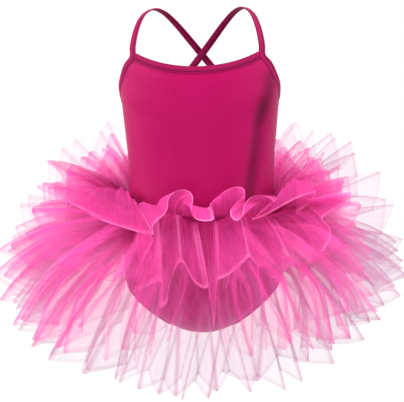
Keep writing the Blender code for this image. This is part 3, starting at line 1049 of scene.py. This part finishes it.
    def centred(self, off: Array, place: Array) -> Array:
        """A ring's offsets less their own mean over a pleat, so that the cloth keeps to its arc."""
        pleat = self.points_a_pleat
        off = off - off[:, -1:] * (place / self.pleats)
        ring = np.concatenate([np.zeros((len(off), 1)), off, off[:, :pleat]], axis=1)
        total = np.cumsum(ring, axis=1)
        mean = (total[:, pleat:] - total[:, :-pleat])[:, :len(place)] / pleat
        return off - np.roll(mean, pleat // 2, axis=1)

    def pleated(self) -> tuple[Array, Array, Array]:
        """The ring of cloth pleated all round.

        Returns:
            The grid of points, how far each column lies along the cut, and how much of a folded
            edge it is.
        """
        draws = np.random.default_rng(self.seed)
        count = self.pleats * self.points_a_pleat
        place = np.arange(count) / self.points_a_pleat
        phase = 2 * math.pi * place
        share = self.shares()
        ways = self.ways_round(share)
        cut = self.fullness * float(ways[-1])
        gathered = self.gathered * np.clip(1 - share[:, 0] / self.gathered_to, 0, 1) ** 1.5
        main = self.swing((ways / cut) ** (1 - gathered), self.wave(full_turn(64)))
        small = self.swing((ways / cut) ** gathered, np.sin(full_turn(64)))
        main = main * (1 + self.uneven(draws, place, self.wander) * np.clip(2 * share, 0, 1))
        heading = main * self.wave(phase) + small * np.sin(
            self.fine * phase + self.uneven(draws, place, 1.2))
        widths = 1 + self.uneven(draws, place, self.width_spread)
        step = cut / count * widths / widths.mean()
        onward = np.cumsum(np.cos(heading) * step, axis=1)
        off = self.centred(np.cumsum(np.sin(heading) * step, axis=1), place)
        azimuth = -180 + 360 * onward / onward[:, -1:]
        azimuth = azimuth + 360 / self.pleats * self.uneven(draws, place, self.drift) * share**1.5
        reach = 1 + self.uneven(draws, place, self.reach) + self.swell(draws, azimuth, self.reach)
        reach = reach * (1 + self.point * (1 - 4 * np.abs(place % 1 - 0.5)) * share)
        tilt = self.uneven(draws, place, self.tilt) + self.swell(draws, azimuth, self.sway)
        curl = self.uneven(draws, place, self.curl)
        grid = self.lay(azimuth, share, self.arc(azimuth, share, tilt, curl, reach), off)
        fold = bump(place % 1 - 0.5, self.fold_width) + 0.7 * bump(
            (place + 0.5) % 1 - 0.5, self.fold_width)
        return grid, np.cumsum(step), fold

    def pleat_keys(self, grid: Array, columns: list[int]) -> Array:
        """Pleated columns in the listed ones' terms: seam, heading and hem."""
        middle = self.steps // 2
        half = float(self.shares()[middle, 0])
        first, last = grid[0, columns], grid[-1, columns]
        bend = grid[middle, columns] - (1 - half) ** 2 * first - half**2 * last
        return np.hstack([first, bend / (2 * half * (1 - half)), last])

    def with_hand_folds(self, grid: Array, run: Array, fold: Array) -> tuple[Array, Array, Array]:
        """The ring with its front columns given one by one.

        Each listed fold point gives a direction at the seam, how far out and up from there
        the cloth first heads, and where its hem lies. A column is the quadratic curve from the
        seam, by way of that heading, to the hem, with small ripples across it.
        """
        hand = np.array(self.hand, float)
        start, stop = (int(round((az + 180) / 360 * len(run))) for az in hand[[0, -1], 0])
        point, normal = body_outline(np.radians(hand[:, 0]), self.root_z)
        root = np.column_stack([point + normal * self.root_out, np.full(len(hand), self.root_z)])
        heading = root + np.column_stack([normal * hand[:, 1:2], hand[:, 2]])
        first, last = start - self.lead, stop + self.lead
        keys = np.vstack([self.pleat_keys(grid, [first - self.lead, first]),
                          np.hstack([root, heading, hand[:, 3:]]),
                          self.pleat_keys(grid, [last, last + self.lead])])
        lengths = travelled(keys[:, 6:])
        places = np.linspace(lengths[1], lengths[-2], int(lengths[-3] / self.hand_step))
        made = smooth(np.column_stack([lengths, keys]), places)
        seam, by, hem = np.split(made[None], 3, axis=-1)
        share = self.shares()[:, :, None]
        laid = (1 - share) ** 2 * seam + 2 * share * (1 - share) * by + share**2 * hem
        (low, close), (high, wide) = self.seam_ripple, self.net_ripple
        ripple = low * np.sin(places / close) * (1 - share[..., 0]) ** 2 + high * np.sin(
            places / wide + 2 * np.sin(places / 17)) * share[..., 0] * (1 - share[..., 0])
        off = unit(np.cross(np.gradient(laid, axis=1), np.gradient(laid, axis=0)))
        laid = laid + off * ripple[..., None]
        ways = unit(np.gradient(hem[0], places, axis=0))
        turning = np.linalg.norm(np.gradient(ways, places, axis=0), axis=-1)
        spacing = np.linalg.norm(np.diff(laid, axis=1, prepend=laid[:, :1]), axis=-1).mean(0)
        before, after = slice(0, first), slice(last + 1, len(run))
        step = np.diff(run, prepend=0)
        grid = np.concatenate([grid[:, before], laid, grid[:, after]], axis=1)
        run = np.cumsum(np.concatenate([step[before], spacing, step[after]]))
        bent = 0.8 * np.clip(9 * turning - 0.8, 0, 1)
        return grid, run, np.concatenate([fold[before], bent, fold[after]])

    def marks(self, grid: Array, fold: Array) -> dict[str, Array]:
        """The numbers that the net's finish reads at each point."""
        share = self.shares()
        turn = np.degrees(np.arctan2(grid[0, :, 0], -grid[0, :, 1]))
        beside = self.side_fade * (1 - bump(turn - self.front_turn, self.front_width))
        above = np.clip((self.thin_to - share) / 0.2, 0, 1)
        return {"fold": fold * np.clip(share * 2.2, 0, 1) * (1 - beside),
                "hem": (share >= self.hem_line) * (1 - beside),
                # Painted shade, deepest at the seam where the net is gathered.
                "gather_shade": 0.9 * (1 - share) ** 1.3 * np.ones(len(turn)),
                "faded": self.fade * share**3 + (0.5 + 0.6 * share) * beside,
                "clear": self.thin * bump(turn, self.thin_turn) * above}

    def build(self, finish: bpy.types.Material, slot: Slot, *nodes: str) -> None:
        """The length as one ring of net that stands for its solids."""
        grid, run, fold = self.pleated()
        if self.hand:
            grid, run, fold = self.with_hand_folds(grid, run, fold)
        width = float(np.linalg.norm(np.diff(grid, axis=0), axis=-1).sum(0).mean())
        piece = make_mesh(self.name, grid.reshape(-1, 3),
                          grid_faces(*grid.shape[:2], ring=True)[:, ::-1], finish,
                          cloth_places(run[None, :], self.shares() * width), self.marks(grid, fold))
        own(piece, slot, *nodes)


# Directions round the body in degrees, and there the net's length, rise and fall.
UNDER_ROWS: Rows = (
    (-180, 192, 50, 34),
    (-135, 188, 41, 18),
    (-90, 154, 6, -46),
    (-45, 186, -22, -66),
    (0, 199, -36, -82),
    (45, 184, -22, -66),
    (90, 152, 6, -46),
    (135, 184, 41, 18),
)
LONG_ROWS: Rows = (
    (-180, 120, 57, 43),
    (-135, 118, 49, 30),
    (-90, 126, 18, -28),
    (-45, 178, -14, -60),
    (0, 136, -30, -77),
    (45, 166, -14, -60),
    (90, 82, 18, -28),
    (135, 116, 49, 30),
)
MID_ROWS: Rows = (
    (-180, 92, 64, 51),
    (-135, 112, 52, 36),
    (-90, 122, 34, 4),
    (-45, 118, 4, -38),
    (0, 112, -7, -56),
    (45, 116, 4, -38),
    (90, 88, 34, 4),
    (135, 104, 52, 36),
)
TOP_ROWS: Rows = (
    (-180, 54, 77, 68),
    (-135, 58, 69, 60),
    (-90, 70, 42, 10),
    (-45, 66, 36, 0),
    (0, 50, 60, 32),
    (45, 62, 44, 10),
    (90, 70, 42, 10),
    (135, 58, 69, 60),
)


# Directions at the seam, how far out and up the cloth first heads, and the hem's x, y and z.
RUFFLE_FOLDS: Rows = (
    (-114, 52, 58, -176.1, 14, -208.2),
    (-107, 48, 56, -198.8, 0, -191.3),
    (-101, 44, 50, -176.6, -14, -214.7),
    (-95, 42, 44, -208.4, -28, -222.4),
    (-89, 36, 50, -169.2, -42, -239.1),
    (-83, 28, 58, -137.4, -56, -252.8),
    (-76, 18, 66, -100.3, -76, -266.2),
    (-68, 14, 68, -80.3, -90, -269.5),
    (-60, 14, 52, -63.3, -101, -272.4),
    (-54, 16, 40, -53.4, -108, -273.3),
    (-49, 18, 34, -53.5, -112, -263.5),
    (-44, 18, 34, -48.5, -112, -256.2),
    (-39, 16, 30, -41.3, -108, -250.7),
    (-35, 14, 26, -36.7, -103, -244.0),
    (-33, 12, 24, -35.8, -98, -237.2),
    (-31, 12, 24, -34.7, -94, -230.3),
    (-28, 12, 24, -28.7, -90, -224.1),
    (-24, 12, 24, -21.4, -88, -221.3),
    (-20, 12, 24, -14.0, -89, -221.3),
    (-17, 12, 24, -7.6, -93, -224.6),
    (-14, 14, 26, -4.9, -99, -231.2),
    (-11, 17, 28, -5.9, -105, -239.1),
    (-8, 19, 30, -5.7, -110, -247.1),
    (-5, 20, 30, -0.8, -113, -254.1),
    (-1, 20, 30, 6.5, -114, -256.4),
    (3, 20, 30, 15.0, -113, -256.7),
    (6, 19, 29, 21.0, -110, -254.7),
    (8, 17, 28, 19.7, -107, -247.7),
    (10, 15, 26, 15.3, -103, -242.0),
    (13, 13, 25, 18.2, -98, -235.3),
    (16, 12, 25, 26.7, -94, -227.9),
    (20, 12, 24, 36.5, -91, -221.5),
    (24, 12, 24, 46.3, -91, -218.0),
    (28, 12, 24, 54.9, -93, -218.4),
    (31, 13, 25, 58.7, -97, -222.9),
    (33, 14, 26, 55.7, -102, -229.0),
    (35, 16, 27, 49.1, -106, -234.6),
    (37, 17, 28, 43.0, -109, -241.5),
    (40, 18, 28, 40.6, -111, -247.4),
    (43, 19, 28, 43.6, -112, -254.6),
    (46, 19, 28, 50.2, -111, -256.7),
    (49, 18, 28, 55.0, -108, -251.6),
    (51, 16, 27, 56.2, -104, -243.5),
    (53, 14, 26, 59.8, -99, -235.6),
    (56, 13, 25, 65.8, -94, -230.1),
    (60, 13, 24, 75.5, -90, -228.2),
    (64, 14, 24, 85.2, -88, -231.0),
    (67, 14, 24, 93.1, -88, -237.3),
    (70, 16, 26, 85.1, -92, -244.1),
    (72, 18, 28, 72.9, -97, -252.0),
    (74, 20, 36, 66.8, -99, -257.8),
    (77, 22, 52, 83.8, -92, -252.7),
    (81, 24, 66, 108.3, -80, -240.9),
    (85, 28, 66, 129.2, -64, -233.2),
    (89, 32, 60, 145.4, -48, -231.5),
    (93, 34, 62, 137.8, -44, -244.5),
    (97, 34, 70, 120.2, -46, -257.9),
    (101, 34, 66, 140.2, -30, -258.9),
    (106, 36, 60, 163.1, -14, -252.3),
)
DRAPE_FOLDS: Rows = (
    (-96, 34, 40, -163.4, -30, -245.8),
    (-84, 34, 42, -140.7, -50, -254.9),
    (-74, 32, 42, -119.8, -68, -261.5),
    (-66, 30, 38, -99.6, -82, -266.0),
    (-59, 28, 34, -82.6, -92, -269.8),
    (-53, 26, 32, -65.8, -100, -273.8),
    (-48, 24, 40, -54.4, -106, -279.2),
    (-45, 22, 44, -59.4, -108, -292.4),
    (-43, 22, 44, -69.2, -112, -309.0),
    (-41, 22, 44, -76.5, -116, -326.9),
    (-39, 22, 44, -81.0, -118, -343.8),
    (-36, 24, 44, -72.4, -124, -340.4),
    (-33, 26, 44, -59.7, -128, -333.6),
    (-30, 26, 44, -47.4, -128, -328.1),
    (-27, 25, 44, -41.7, -124, -331.9),
    (-25, 24, 44, -45.3, -121, -347.3),
    (-23, 24, 44, -46.3, -120, -362.3),
    (-21, 22, 44, -37.9, -116, -356.9),
    (-19, 21, 42, -36.0, -113, -342.6),
    (-17, 20, 40, -31.0, -110, -324.5),
    (-15, 20, 38, -22.9, -108, -308.8),
    (-13, 20, 33, -16.8, -108, -310.1),
    (-11, 21, 26, -10.7, -111, -320.8),
    (-9, 22, 17, -4.5, -115, -331.3),
    (-6, 24, 9, 4.2, -119, -337.4),
    (-3, 24, 2, 10.4, -120, -338.5),
    (-1, 23, 1, 13.9, -117, -337.2),
    (1, 22, 0, 15.3, -116, -357.2),
    (3, 22, 0, 16.8, -116, -375.8),
    (5, 22, 0, 19.1, -117, -386.8),
    (7, 22, 1, 21.3, -118, -368.0),
    (9, 23, 3, 22.3, -119, -348.1),
    (11, 24, 6, 24.5, -120, -329.4),
    (14, 24, 14, 31.2, -119, -325.9),
    (17, 24, 24, 38.5, -117, -322.6),
    (20, 24, 33, 45.8, -115, -316.8),
    (23, 24, 37, 54.3, -112, -310.0),
    (26, 24, 38, 62.8, -108, -302.1),
    (29, 22, 38, 68.7, -103, -309.1),
    (32, 22, 37, 78.3, -101, -319.4),
    (36, 24, 34, 90.4, -103, -329.1),
    (40, 26, 30, 105.2, -104, -322.8),
    (44, 28, 28, 113.8, -100, -311.2),
    (48, 28, 18, 121.0, -96, -321.8),
    (52, 28, 18, 127.0, -92, -333.7),
    (56, 30, 19, 134.4, -86, -324.8),
    (60, 32, 20, 144.4, -80, -313.4),
    (65, 34, 22, 154.5, -72, -299.7),
    (70, 34, 24, 162.0, -66, -288.2),
    (75, 34, 27, 162.3, -60, -274.0),
    (80, 34, 28, 152.5, -54, -264.7),
    (85, 34, 30, 162.6, -44, -256.0),
)


@dataclass(frozen=True)
class Layer:
    """Lengths of tulle of one finish and slot, which stand for the same two solids."""

    finish: Tulle
    slot: Slot
    node: str
    lengths: tuple[Gather, ...]


PALE = Gather("pale_tulle_inner", UNDER_ROWS, root_z=-290.0, pleats=38, seed=11, fullness=1.6,
              longer=0.98, crisp=6.0, tilt=3.0, reach=0.04, sway=3.0, point=0.06, thin=1.0,
              thin_turn=32.0, thin_to=0.66, side_fade=0.5, front_turn=24.0, front_width=115.0)
LONG = Gather("long_tulle_inner", LONG_ROWS, root_z=-285.0, pleats=40, seed=21, fullness=1.7,
              longer=1.06, crisp=4.0, reach=0.08, point=0.10, thin=0.94, thin_turn=24.0, fade=0.6)
MIDDLE = Gather("middle_tulle_inner", MID_ROWS, root_z=-274.0, pleats=24, seed=31, fullness=1.6,
                crisp=1.4, tilt=7.0, reach=0.14, point=0.08, thin=0.93, thin_turn=40.0)
DRAPE = Gather("middle_tulle_outer", MID_ROWS, root_z=-262.5, pleats=18, seed=32, fullness=1.6,
               longer=0.9, crisp=1.0, tilt=7.0, reach=0.14, point=0.04, points_a_pleat=36,
               hand=DRAPE_FOLDS)
RUFFLE = Gather("top_ruffle", TOP_ROWS, root_z=-256.0, pleats=18, seed=41, fullness=2.1, crisp=0.4,
                tilt=8.0, reach=0.08, point=0.02, points_a_pleat=48, side_fade=0.6,
                hand=RUFFLE_FOLDS)
LAYERS = (
    Layer(PALE_NET, Slot.PALE_TULLE, "tulle_under", (
        PALE,
        replace(PALE, name="pale_tulle_outer", root_z=-287.5, pleats=34, seed=12, fullness=1.5,
                longer=0.96),
    )),
    Layer(PINK_NET, Slot.PINK_TULLE, "tulle_long", (
        LONG,
        replace(LONG, name="long_tulle_middle", root_z=-282.5, pleats=36, seed=22, longer=1.0,
                tilt=6.0, reach=0.10, fade=0.5),
        replace(LONG, name="long_tulle_outer", root_z=-280.5, pleats=32, seed=23, fullness=1.6,
                longer=0.92, crisp=3.0, tilt=6.0, reach=0.12, fade=0.5),
    )),
    Layer(PINK_NET, Slot.PINK_TULLE, "tulle_mid", (MIDDLE,)),
    Layer(DRAPE_NET, Slot.PINK_TULLE, "tulle_mid", (DRAPE,)),
    Layer(RUFFLE_NET, Slot.PINK_TULLE, "tulle_top", (RUFFLE,)),
)


@dataclass(frozen=True)
class Tutu:
    """The tutu: layers of gathered tulle, from the pale longest one to the short top ruffle."""

    layers: tuple[Layer, ...] = LAYERS

    def build(self) -> None:
        """Builds and dresses every length of tulle."""
        nets = {net: net.material() for net in (PINK_NET, PALE_NET, DRAPE_NET, RUFFLE_NET)}
        for layer in self.layers:
            for gather in layer.lengths:
                gather.build(nets[layer.finish], layer.slot, f"{layer.node}_front",
                             f"{layer.node}_back")


@dataclass(frozen=True)
class Lamp:
    """A square soft light: where it stands and its size, in metres, and its power in watts."""

    name: str
    place: Place
    size: float
    power: float

    def build(self, target: Place) -> None:
        """Sets up the light so that it faces the target."""
        data = bpy.data.lights.new(self.name, "AREA")
        data.size = self.size
        data.energy = self.power
        lamp = bpy.data.objects.new(self.name, data)
        lamp.location = self.place
        towards = np.array(target) - np.array(self.place)
        lamp.rotation_euler = (math.acos(-towards[2] / np.linalg.norm(towards)), 0.0,
                               math.atan2(towards[1], towards[0]) - math.pi / 2)
        bpy.context.scene.collection.objects.link(lamp)


@dataclass(frozen=True)
class Studio:
    """A pale floor, soft lights and the camera at the photograph's viewing angle.

    Angles are in degrees and lengths in metres, but for the sensor's millimetres. A ray may pass
    as many layers of net as clear_bounces.
    """

    azimuth: float = 3.5
    elevation: float = 7.0
    roll: float = 1.0
    distance: float = 2.2
    centre: Place = (0.0, 0.0, -0.246)
    view_width: float = 0.517
    sensor: float = 36.0
    floor_z: float = -2.40
    floor_reach: float = 400.0
    world_strength: float = 1.12
    clear_bounces: int = 96
    lamps: tuple[Lamp, ...] = (
        Lamp("key_light", (-1.75, -0.95, 0.7), 0.9, 66.0),
        Lamp("top_light", (0.75, -0.45, 1.6), 1.2, 50.0),
        Lamp("right_light", (1.8, -0.7, 0.3), 0.9, 39.0),
        Lamp("left_light", (-1.9, -0.1, 0.15), 0.7, 15.0),
        Lamp("low_light", (-0.2, -2.0, -1.0), 1.0, 16.0),
    )

    def build(self) -> None:
        """Sets the floor, the lights, the world and the camera."""
        scene = bpy.context.scene
        scene.view_settings.view_transform = "Standard"
        scene.cycles.transparent_max_bounces = self.clear_bounces
        self.floor()
        self.sky(scene)
        for lamp in self.lamps:
            lamp.build(self.centre)
        self.camera(scene)

    def floor(self) -> None:
        """A wide pale floor under the dress."""
        shader = Shader("pale_floor")
        grain = shader.noise(shader.where(), 3.0)
        colour = shader.blend(grain, (0.90, 0.90, 0.90), (0.92, 0.92, 0.92))
        matt = shader.add("ShaderNodeBsdfPrincipled", {"Base Color": colour, "Roughness": 0.9})
        reach, z = self.floor_reach / MM, self.floor_z / MM
        corners = np.array([(-reach, -reach, z), (reach, -reach, z), (reach, reach, z),
                            (-reach, reach, z)])
        floor = make_mesh("studio_floor", corners, np.array([[0, 1, 2, 3]]),
                          shader.finish(matt.outputs[0]))

    def sky(self, scene: bpy.types.Scene) -> None:
        """An even white world."""
        world = bpy.data.worlds.new("studio_white")
        world.use_nodes = True
        shade = world.node_tree.nodes["Background"]
        shade.inputs["Color"].default_value = (1.0, 1.0, 1.0, 1.0)
        shade.inputs["Strength"].default_value = self.world_strength
        scene.world = world

    def camera(self, scene: bpy.types.Scene) -> None:
        """The camera, with its lens set so that the view is view_width across at the dress."""
        data = bpy.data.cameras.new("studio_camera")
        data.sensor_width = self.sensor
        data.lens = self.sensor * self.distance / self.view_width
        camera = bpy.data.objects.new("studio_camera", data)
        a, e = math.radians(self.azimuth), math.radians(self.elevation)
        back = np.array([math.sin(a) * math.cos(e), -math.cos(a) * math.cos(e), math.sin(e)])
        camera.location = np.array(self.centre) + back * self.distance
        camera.rotation_mode = "QUATERNION"
        facing = Vector(-back).to_track_quat("-Z", "Y").to_matrix()
        turned = facing @ Matrix.Rotation(-math.radians(self.roll), 3, "Z")
        camera.rotation_quaternion = turned.to_quaternion()
        scene.collection.objects.link(camera)
        scene.camera = camera


def write_sizes() -> None:
    """Updates the view layer."""
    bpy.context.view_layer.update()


def main() -> None:
    """Builds the studio, the leotard, the tape and the tutu."""
    logging.basicConfig(level=logging.INFO, format="%(message)s")
    Studio().build()
    Leotard().build()
    HipTape().build(bpy.data.materials[BOUND.name], bpy.data.materials[SEWN.name])
    Tutu().build()
    write_sizes()


if __name__ == "__main__":
    main()
